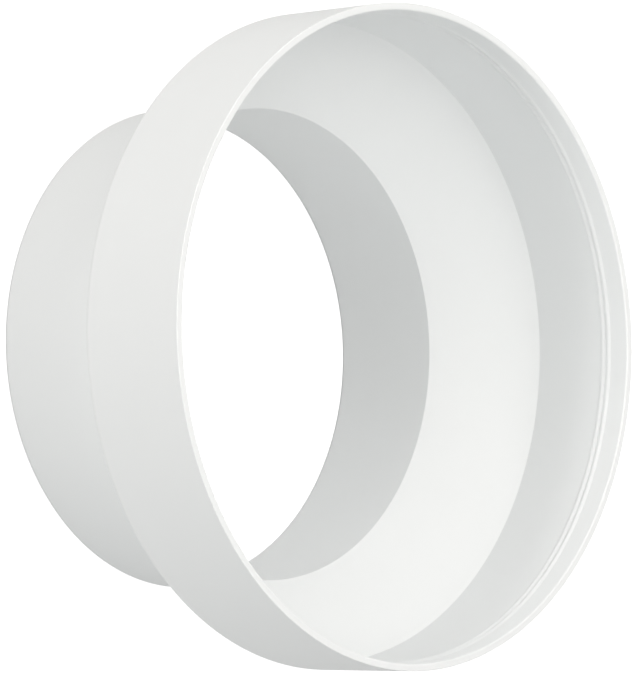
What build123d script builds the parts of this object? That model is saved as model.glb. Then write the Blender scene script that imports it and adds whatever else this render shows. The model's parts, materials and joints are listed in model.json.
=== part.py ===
from build123d import *
from math import radians, tan
import os

# Concentric duct reducer, moulded in one piece from white plastic. A wide collar steps down to a narrow
# spigot through a straight cone, with one even wall all the way and a pair of fine beads inside the mouth.
# It stands on the end of its spigot: the origin is the centre of that end, and +Z runs up the axis to the mouth.

# Driving dimensions, in millimetres and degrees
COLLAR_DIAMETER = 200.0  # outside of the wide collar
COLLAR_LENGTH = 37.5  # outside of the collar, from the rim to where the cone starts
SPIGOT_DIAMETER = 150.0  # outside of the narrow spigot
SPIGOT_LENGTH = 37.5  # outside of the spigot, from its end to where the cone starts
CONE_ANGLE = 45.0  # between the cone and the axis
WALL = 2.3  # measured square to the surface

SHOULDER_ROUND = 2.8  # outside corner between the collar and the cone
NECK_ROUND = 1.0  # outside corner between the cone and the spigot
RIM_CHAMFER = 0.5  # both edges of the mouth's flat rim
TIP_CHAMFER = 0.5  # both edges of the spigot's end

BEAD_COUNT = 2
BEAD_DEPTH = 7.8  # from the rim to the crest of the first bead
BEAD_PITCH = 2.2
BEAD_WIDTH = 2.1
BEAD_HEIGHT = 0.35

# Levels and radii that follow from them
collar_radius = COLLAR_DIAMETER / 2
spigot_radius = SPIGOT_DIAMETER / 2
cone_rise = (collar_radius - spigot_radius) / tan(radians(CONE_ANGLE))
neck_level = SPIGOT_LENGTH
shoulder_level = neck_level + cone_rise
rim_level = shoulder_level + COLLAR_LENGTH

# The inside follows the outside one wall further in, so its two corners sit a little higher.
collar_bore = collar_radius - WALL
spigot_bore = spigot_radius - WALL
corner_rise = WALL * tan(radians(CONE_ANGLE) / 2)

# Corners of the section, as (radius, level): up the outside, then down the inside
tip_outside = (spigot_radius, 0)
neck_outside = (spigot_radius, neck_level)
shoulder_outside = (collar_radius, shoulder_level)
rim_outside = (collar_radius, rim_level)
rim_inside = (collar_bore, rim_level)
shoulder_inside = (collar_bore, shoulder_level + corner_rise)
neck_inside = (spigot_bore, neck_level + corner_rise)
tip_inside = (spigot_bore, 0)

rounds = {shoulder_outside: SHOULDER_ROUND, neck_outside: NECK_ROUND}
chamfers = {
    rim_outside: RIM_CHAMFER,
    rim_inside: RIM_CHAMFER,
    tip_outside: TIP_CHAMFER,
    tip_inside: TIP_CHAMFER,
}

bead_levels = [rim_level - BEAD_DEPTH - number * BEAD_PITCH for number in range(BEAD_COUNT)]
bead_root = collar_bore + WALL / 2  # a bead's section starts in the middle of the wall

with BuildPart() as reducer_body:
    with BuildSketch(Plane.XZ) as section:
        with BuildLine():
            Polyline(
                tip_outside,
                neck_outside,
                shoulder_outside,
                rim_outside,
                rim_inside,
                shoulder_inside,
                neck_inside,
                tip_inside,
                close=True,
            )
        make_face()
        for corner, radius in rounds.items():
            fillet(section.vertices().sort_by_distance(corner)[0], radius)
        for corner, length in chamfers.items():
            chamfer(section.vertices().sort_by_distance(corner)[0], length)
        for level in bead_levels:
            with BuildLine():
                crest = ThreePointArc(
                    (collar_bore, level - BEAD_WIDTH / 2),
                    (collar_bore - BEAD_HEIGHT, level),
                    (collar_bore, level + BEAD_WIDTH / 2),
                )
                Polyline(
                    crest @ 1,
                    (bead_root, level + BEAD_WIDTH / 2),
                    (bead_root, level - BEAD_WIDTH / 2),
                    crest @ 0,
                )
            make_face()
    revolve(axis=Axis.Z)

reducer_body.part.label = "reducer_body"

os.makedirs("parts", exist_ok=True)
export_step(reducer_body.part, "parts/reducer_body.step")
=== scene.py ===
"""A white moulded duct reducer, standing on its spigot with the wide mouth up, in a bright studio."""

import json
from math import atan2, cos, pi, radians, sin, tan

import bpy
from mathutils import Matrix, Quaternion, Vector


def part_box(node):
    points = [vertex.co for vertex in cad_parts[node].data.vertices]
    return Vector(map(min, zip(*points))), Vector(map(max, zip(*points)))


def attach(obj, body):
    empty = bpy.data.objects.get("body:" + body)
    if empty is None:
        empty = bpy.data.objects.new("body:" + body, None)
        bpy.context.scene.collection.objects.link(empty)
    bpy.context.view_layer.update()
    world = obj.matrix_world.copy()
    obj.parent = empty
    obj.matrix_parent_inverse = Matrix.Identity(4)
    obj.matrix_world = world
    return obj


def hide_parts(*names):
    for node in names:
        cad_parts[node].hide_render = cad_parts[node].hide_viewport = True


MM = 0.001  # the frame is in metres

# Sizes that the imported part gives
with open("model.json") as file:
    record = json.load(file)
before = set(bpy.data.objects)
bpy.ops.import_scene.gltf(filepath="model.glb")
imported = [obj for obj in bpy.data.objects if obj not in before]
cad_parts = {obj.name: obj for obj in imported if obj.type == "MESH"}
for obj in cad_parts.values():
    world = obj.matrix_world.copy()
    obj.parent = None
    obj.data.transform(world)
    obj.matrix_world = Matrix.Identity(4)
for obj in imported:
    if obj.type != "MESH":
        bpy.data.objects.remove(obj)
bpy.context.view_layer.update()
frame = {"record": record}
NODE = "reducer_body"
BODY = "root"
mounts = {mount["name"]: mount for mount in frame["record"]["mounts"]}


def mount_radius(name):
    """A round mount's radius, in metres."""
    return mounts[name]["dims"]["r_mm"] * MM


COLLAR_RADIUS = mount_radius("collar_outside")
COLLAR_BORE = mount_radius("collar_socket")
SPIGOT_RADIUS = mount_radius("spigot_outside")
SPIGOT_BORE = mount_radius("spigot_bore")
RIM_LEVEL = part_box(NODE)[1].z
WALL = COLLAR_RADIUS - COLLAR_BORE

# Sizes of the section that the record doesn't hold
COLLAR_LENGTH = 37.5 * MM  # outside of the collar, from the rim to where the cone starts
CONE_ANGLE = radians(45)  # between the cone and the axis
SHOULDER_ROUND = 2.8 * MM  # outside corner between the collar and the cone
NECK_ROUND = 1.0 * MM  # outside corner between the cone and the spigot
RIM_OUTER_ROUND = 0.3 * MM
RIM_INNER_ROUND = 0.6 * MM
TIP_ROUND = 0.5 * MM  # both edges of the spigot's end
INSIDE_ROUND = 0.4 * MM  # both inside corners of the cone
BEAD_COUNT = 2
BEAD_DEPTH = 7.8 * MM  # from the rim to the crest of the first bead
BEAD_PITCH = 2.2 * MM
BEAD_WIDTH = 2.1 * MM
BEAD_PEAK = 0.45 * MM  # where a bead's flanks would meet if its crest weren't rounded
BEAD_CREST_ROUND = 0.8 * MM
BEAD_ROOT_ROUND = 0.2 * MM

shoulder_level = RIM_LEVEL - COLLAR_LENGTH
neck_level = shoulder_level - (COLLAR_RADIUS - SPIGOT_RADIUS) / tan(CONE_ANGLE)
corner_rise = WALL * tan(CONE_ANGLE / 2)  # the inside corners sit this much above the outside ones

# Steps of the mesh, round the axis and along each rounded corner
TURN_STEPS = 320
ARC_STEPS = 6


def bead_corners():
    """Corners of the beads inside the mouth, from the rim down, as (radius, level, round)."""
    corners = []
    for number in range(BEAD_COUNT):
        level = RIM_LEVEL - BEAD_DEPTH - number * BEAD_PITCH
        corners.append((COLLAR_BORE, level + BEAD_WIDTH / 2, BEAD_ROOT_ROUND))
        corners.append((COLLAR_BORE - BEAD_PEAK, level, BEAD_CREST_ROUND))
        corners.append((COLLAR_BORE, level - BEAD_WIDTH / 2, BEAD_ROOT_ROUND))
    return corners


def section_corners():
    """Corners of the wall's section: up the outside, over the rim and down the inside."""
    return [
        (SPIGOT_RADIUS, 0, TIP_ROUND),
        (SPIGOT_RADIUS, neck_level, NECK_ROUND),
        (COLLAR_RADIUS, shoulder_level, SHOULDER_ROUND),
        (COLLAR_RADIUS, RIM_LEVEL, RIM_OUTER_ROUND),
        (COLLAR_BORE, RIM_LEVEL, RIM_INNER_ROUND),
        *bead_corners(),
        (COLLAR_BORE, shoulder_level + corner_rise, INSIDE_ROUND),
        (SPIGOT_BORE, neck_level + corner_rise, INSIDE_ROUND),
        (SPIGOT_BORE, 0, TIP_ROUND),
    ]


def rounded(before, corner, after, radius):
    """Points and outward directions along the arc that rounds one corner of an anticlockwise outline."""
    arrive = (corner - before).normalized()
    leave = (after - corner).normalized()
    turn = atan2(arrive.cross(leave), arrive.dot(leave))
    bend = 1 if turn > 0 else -1
    start = corner - arrive * radius * tan(abs(turn) / 2)
    first = Vector((arrive.y, -arrive.x))
    centre = start - first * radius * bend
    arc = []
    for step in range(ARC_STEPS + 1):
        angle = turn * step / ARC_STEPS
        outward = Vector((
            first.x * cos(angle) - first.y * sin(angle),
            first.x * sin(angle) + first.y * cos(angle),
        ))
        arc.append((centre + outward * radius * bend, outward))
    return arc


def section_outline():
    """The whole outline of the wall's section, as points and outward directions."""
    corners = section_corners()
    outline = []
    for index, (radius, level, rounding) in enumerate(corners):
        before = Vector(corners[index - 1][:2])
        after = Vector(corners[(index + 1) % len(corners)][:2])
        outline += rounded(before, Vector((radius, level)), after, rounding)
    return outline


def placed(name, data):
    """A new object in the scene, from a mesh, a light or a camera's data."""
    thing = bpy.data.objects.new(name, data)
    bpy.context.scene.collection.objects.link(thing)
    return thing


def turned_reducer():
    """The reducer, turned round the Z axis from its section."""
    outline = section_outline()
    count = len(outline)
    places, normals, faces = [], [], []
    for step in range(TURN_STEPS):
        angle = 2 * pi * step / TURN_STEPS
        for point, outward in outline:
            places.append((point.x * cos(angle), point.x * sin(angle), point.y))
            normals.append((outward.x * cos(angle), outward.x * sin(angle), outward.y))
    for step in range(TURN_STEPS):
        here = step * count
        there = (step + 1) % TURN_STEPS * count
        for index in range(count):
            following = (index + 1) % count
            faces.append((here + index, there + index, there + following, here + following))
    mesh = bpy.data.meshes.new("moulded_reducer")
    mesh.from_pydata(places, [], faces)
    mesh.shade_smooth()
    mesh.normals_split_custom_set_from_vertices(normals)
    return placed("moulded_reducer", mesh)


class Wire:
    """A value in a shader. Sums and products of wires and numbers add their own Math nodes."""

    def __init__(self, finish, socket):
        self.finish = finish
        self.socket = socket

    def maths(self, operation, first, second):
        return self.finish.node("ShaderNodeMath", {"operation": operation}, {0: first, 1: second})

    def __add__(self, other):
        return self.maths("ADD", self, other)

    def __radd__(self, other):
        return self.maths("ADD", other, self)

    def __mul__(self, other):
        return self.maths("MULTIPLY", self, other)

    def __rmul__(self, other):
        return self.maths("MULTIPLY", other, self)


class Finish:
    """A material and the nodes that make it."""

    def __init__(self, name):
        self.material = bpy.data.materials.new(name)
        self.material.use_nodes = True
        self.tree = self.material.node_tree
        self.tree.nodes.clear()

    def node(self, kind, settings, sockets, output=0):
        """Adds a node, sets its settings and then its sockets, and gives one of its outputs as a wire."""
        made = self.tree.nodes.new(kind)
        for name, value in settings.items():
            setattr(made, name, value)
        for name, value in sockets.items():
            if isinstance(value, Wire):
                self.tree.links.new(value.socket, made.inputs[name])
            else:
                made.inputs[name].default_value = value
        return Wire(self, made.outputs[output]) if made.outputs else None

    def surface(self, sockets):
        """Adds the shader with these sockets, and shows it on the surface."""
        shader = self.node("ShaderNodeBsdfPrincipled", {}, sockets)
        self.node("ShaderNodeOutputMaterial", {}, {"Surface": shader})


# The white plastic: a mottle varies its white, a haze its roughness, and a grain its relief
PLASTIC_DEEP = (0.860, 0.879, 0.884, 1)
PLASTIC_PALE = (0.872, 0.891, 0.896, 1)
PLASTIC_IOR = 1.5
SATIN = 0.5  # roughness without any haze
SATIN_SPREAD = 0.1  # what full haze adds to it
MOTTLE_SIZE = 18 * MM
MOTTLE_DETAIL = 2
HAZE_SIZE = 3 * MM
HAZE_DETAIL = 3
GRAIN_SIZE = 0.5 * MM
GRAIN_DETAIL = 2
GRAIN_DEPTH = 0.05 * MM
GRAIN_STRENGTH = 0.12


def noise(finish, place, size, detail):
    """Soft noise between 0 and 1, with blobs of about that size in metres."""
    sockets = {"Vector": place, "Scale": 1 / size, "Detail": detail}
    return finish.node("ShaderNodeTexNoise", {}, sockets, "Fac")


def white_plastic():
    """Satin white plastic with the fine grain of its mould."""
    finish = Finish("satin_white_plastic")
    place = finish.node("ShaderNodeTexCoord", {}, {}, "Object")
    mottle = noise(finish, place, MOTTLE_SIZE, MOTTLE_DETAIL)
    haze = noise(finish, place, HAZE_SIZE, HAZE_DETAIL)
    grain = noise(finish, place, GRAIN_SIZE, GRAIN_DETAIL)
    colour = finish.node(
        "ShaderNodeMix",
        {"data_type": "RGBA"},
        {"Factor": mottle, "A": PLASTIC_DEEP, "B": PLASTIC_PALE},
        "Result",
    )
    relief = finish.node(
        "ShaderNodeBump",
        {},
        {"Strength": GRAIN_STRENGTH, "Distance": GRAIN_DEPTH, "Height": grain},
    )
    finish.surface({
        "Base Color": colour,
        "Roughness": SATIN + SATIN_SPREAD * haze,
        "Normal": relief,
        "IOR": PLASTIC_IOR,
    })
    return finish.material


# The floor, which is grey to the lights and glows white to the eye
FLOOR_REACH = 6.0  # from the middle to each side
FLOOR_GREY = (0.25, 0.25, 0.25, 1)
FLOOR_ROUGHNESS = 0.9
FLOOR_SHINE = 0.0
GLOW_WHITE = (1, 1, 1, 1)
GLOW_STRENGTH = 1.0


def glowing_white():
    """The floor's matt finish."""
    finish = Finish("white_floor")
    finish.surface({
        "Base Color": FLOOR_GREY,
        "Roughness": FLOOR_ROUGHNESS,
        "Specular IOR Level": FLOOR_SHINE,
        "Emission Color": GLOW_WHITE,
        "Emission Strength": GLOW_STRENGTH,
    })
    return finish.material


def pale_floor():
    """A wide pale floor. Light linking keeps its glow to itself, so that none is cast on the part."""
    corners = [(-1, -1), (1, -1), (1, 1), (-1, 1)]
    mesh = bpy.data.meshes.new("studio_floor")
    mesh.from_pydata([(x * FLOOR_REACH, y * FLOOR_REACH, 0) for x, y in corners], [], [(0, 1, 2, 3)])
    mesh.materials.append(glowing_white())
    floor = placed("studio_floor", mesh)
    glow_reach = bpy.data.collections.new("floor_glow_reach")
    glow_reach.objects.link(floor)
    floor.light_linking.receiver_collection = glow_reach


# The lights, in metres and watts. Azimuth 0 is the camera's side of the part, and 90 is +X.
KEY_WHITE = (1.0, 0.974, 0.947)
FILL_WHITE = (0.98, 0.98, 0.965)
LIGHT_DISTANCE = 1.5  # from the middle of the mouth
SOFTBOX_SIDE = 0.9
STRIP_AZIMUTH = 337
STRIP_WIDTH = 0.4
TABLE_SIDE = 2.0
TABLE_HEIGHT = 0.5 * MM  # just clear of the floor
TABLE_POWER = 5.6
ROOM_STRENGTH = 0.1

# Softboxes, as name, azimuth and elevation in degrees, power, and colour
SOFTBOXES = [
    ("softbox_left_front", 315, 15, 5.4, KEY_WHITE),
    ("softbox_upper_front", 315, 65, 5.0, KEY_WHITE),
    ("softbox_left_low", 270, 15, 1.3, KEY_WHITE),
    ("softbox_left", 270, 40, 2.0, KEY_WHITE),
    ("softbox_upper_left", 270, 65, 4.7, KEY_WHITE),
    ("softbox_overhead", 0, 90, 6.8, KEY_WHITE),
    ("softbox_front_right", 45, 15, 6.0, FILL_WHITE),
    ("softbox_right", 90, 40, 3.0, FILL_WHITE),
    ("softbox_back", 180, 15, 5.0, FILL_WHITE),
]

# Low strips that reach over the near rim into the mouth, as name, elevation in degrees, height and power
STRIPS = [
    ("strip_low", 2.4, 0.026, 0.9),
    ("strip_middle", 4, 0.052, 1.2),
    ("strip_high", 5.5, 0.052, 1.1),
]


def soft_light(name, place, facing, width, height, power, colour):
    """A soft light that the camera doesn't see."""
    light = bpy.data.lights.new(name, "AREA")
    light.shape = "RECTANGLE"
    light.size = width
    light.size_y = height
    light.energy = power
    light.color = colour
    lamp = placed(name, light)
    lamp.location = place
    lamp.rotation_mode = "QUATERNION"
    lamp.rotation_quaternion = facing.to_track_quat("-Z", "Y")
    lamp.visible_camera = False


def light_on_mouth(name, azimuth, elevation, width, height, power, colour):
    """A soft light that stands round the part and faces the mouth."""
    turn = radians(azimuth)
    rise = radians(elevation)
    outward = Vector((sin(turn) * cos(rise), -cos(turn) * cos(rise), sin(rise)))
    mouth = Vector((0, 0, RIM_LEVEL))
    soft_light(name, mouth + outward * LIGHT_DISTANCE, -outward, width, height, power, colour)


def lit_table():
    """Light that comes up from the table top round the part."""
    table_top = Vector((0, 0, TABLE_HEIGHT))
    upward = Vector((0, 0, 1))
    soft_light("table_light", table_top, upward, TABLE_SIDE, TABLE_SIDE, TABLE_POWER, FILL_WHITE)


def pale_room():
    """Weak light from all round."""
    world = bpy.data.worlds.new("pale_room")
    world.use_nodes = True
    background = world.node_tree.nodes["Background"]
    background.inputs["Color"].default_value = (*FILL_WHITE, 1)
    background.inputs["Strength"].default_value = ROOM_STRENGTH
    bpy.context.scene.world = world


def studio_light():
    """Large softboxes, low strips and a lit table top in a pale room."""
    for name, azimuth, elevation, power, colour in SOFTBOXES:
        light_on_mouth(name, azimuth, elevation, SOFTBOX_SIDE, SOFTBOX_SIDE, power, colour)
    for name, elevation, height, power in STRIPS:
        light_on_mouth(name, STRIP_AZIMUTH, elevation, STRIP_WIDTH, height, power, KEY_WHITE)
    lit_table()
    pale_room()


# The camera, which looks down into the mouth and is rolled so that the axis lies across the picture
CAMERA_ELEVATION = radians(43.86)
CAMERA_ROLL = radians(86.95)
CAMERA_AIM = Vector((-1.3 * MM, 0, 60.24 * MM))
CAMERA_DISTANCE = 1.396
CAMERA_LENS = 244.4  # in millimetres, as Blender takes it


def photo_camera():
    """The camera at the photograph's viewing angle."""
    data = bpy.data.cameras.new("photo_camera")
    data.lens = CAMERA_LENS
    camera = placed("photo_camera", data)
    back = Vector((0, -cos(CAMERA_ELEVATION), sin(CAMERA_ELEVATION)))
    camera.location = CAMERA_AIM + back * CAMERA_DISTANCE
    camera.rotation_mode = "QUATERNION"
    camera.rotation_quaternion = (-back).to_track_quat("-Z", "Y") @ Quaternion((0, 0, 1), CAMERA_ROLL)
    bpy.context.scene.camera = camera


reducer = turned_reducer()
reducer.data.materials.append(white_plastic())
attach(reducer, BODY)
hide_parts(NODE)

pale_floor()
studio_light()
photo_camera()
bpy.context.scene.view_settings.view_transform = "Standard"
